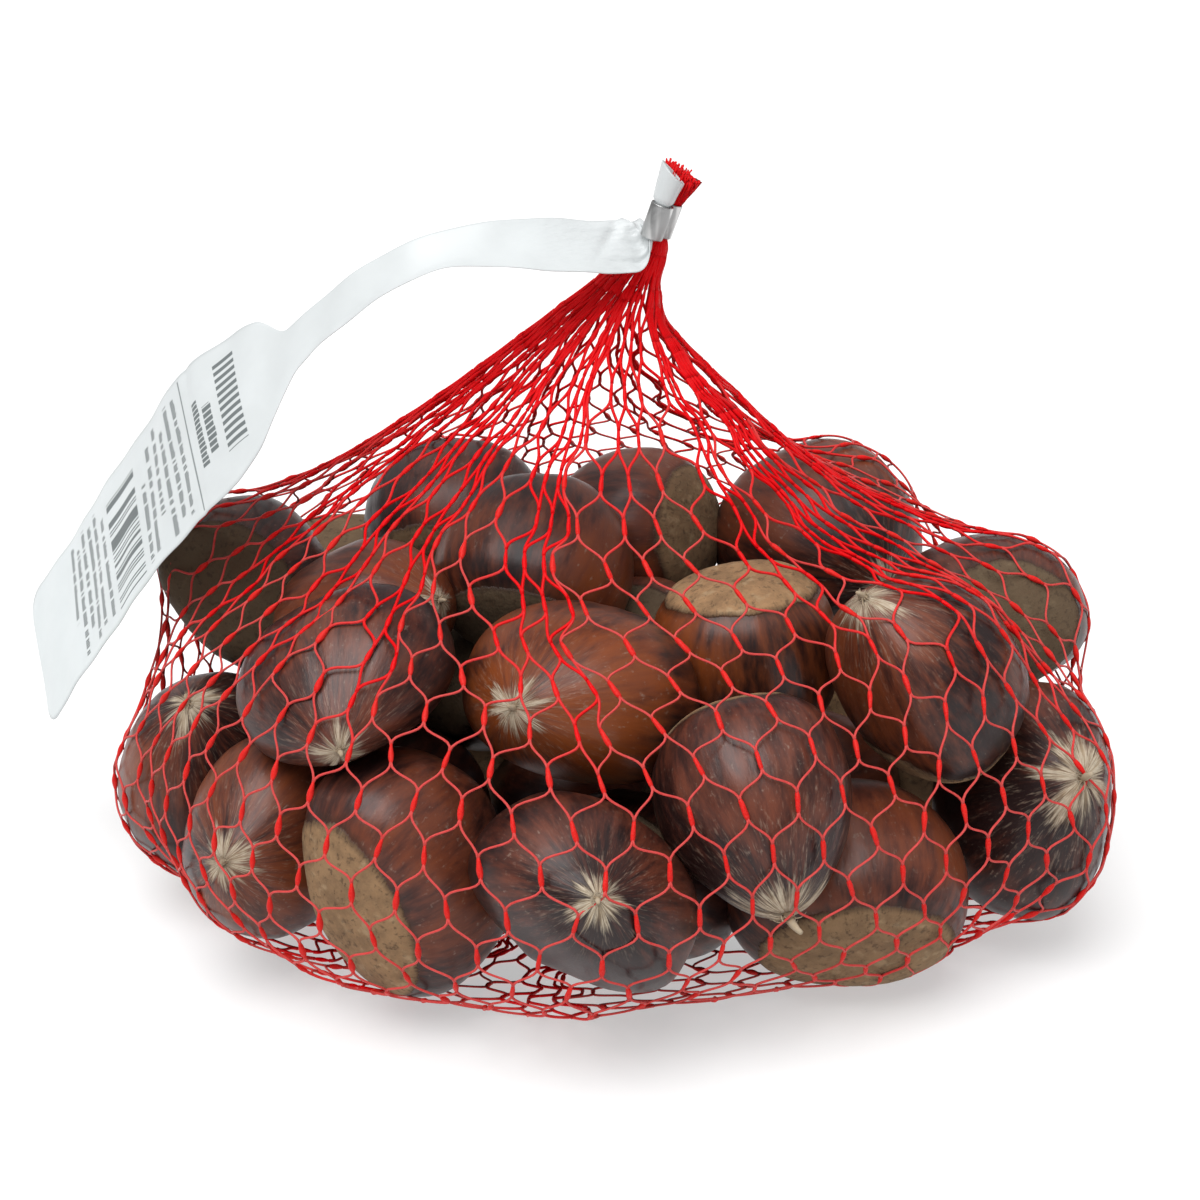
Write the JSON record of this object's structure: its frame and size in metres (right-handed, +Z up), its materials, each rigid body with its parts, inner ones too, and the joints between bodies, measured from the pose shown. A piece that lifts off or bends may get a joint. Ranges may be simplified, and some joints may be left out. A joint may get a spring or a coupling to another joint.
{
  "type": "net bag of fresh chestnuts",
  "caption": "Red knitted net bag of fresh chestnuts, its neck closed by a double crimped metal clip that also holds a white film label.",
  "frame": {"origin": "on the ground under the middle of the heap, at the bag's flat bottom", "axes": "+Z up to the neck, +X to the right along the bag's longest side, -Y towards the front that the picture shows"},
  "size_m": [0.1828, 0.1481, 0.1275],
  "materials": {
    "net_red": "thin knitted red plastic net, satin",
    "chestnut_shell": "smooth satin chestnut shell, dark brown with fine stripes, tan scar and pale tuft",
    "clip_metal": "crimped aluminium band",
    "label_film": null
  },
  "bodies": {
    "root": {"net_bag": "net_red", "clip": "clip_metal", "label": "label_film"}
  },
  "joints": []
}
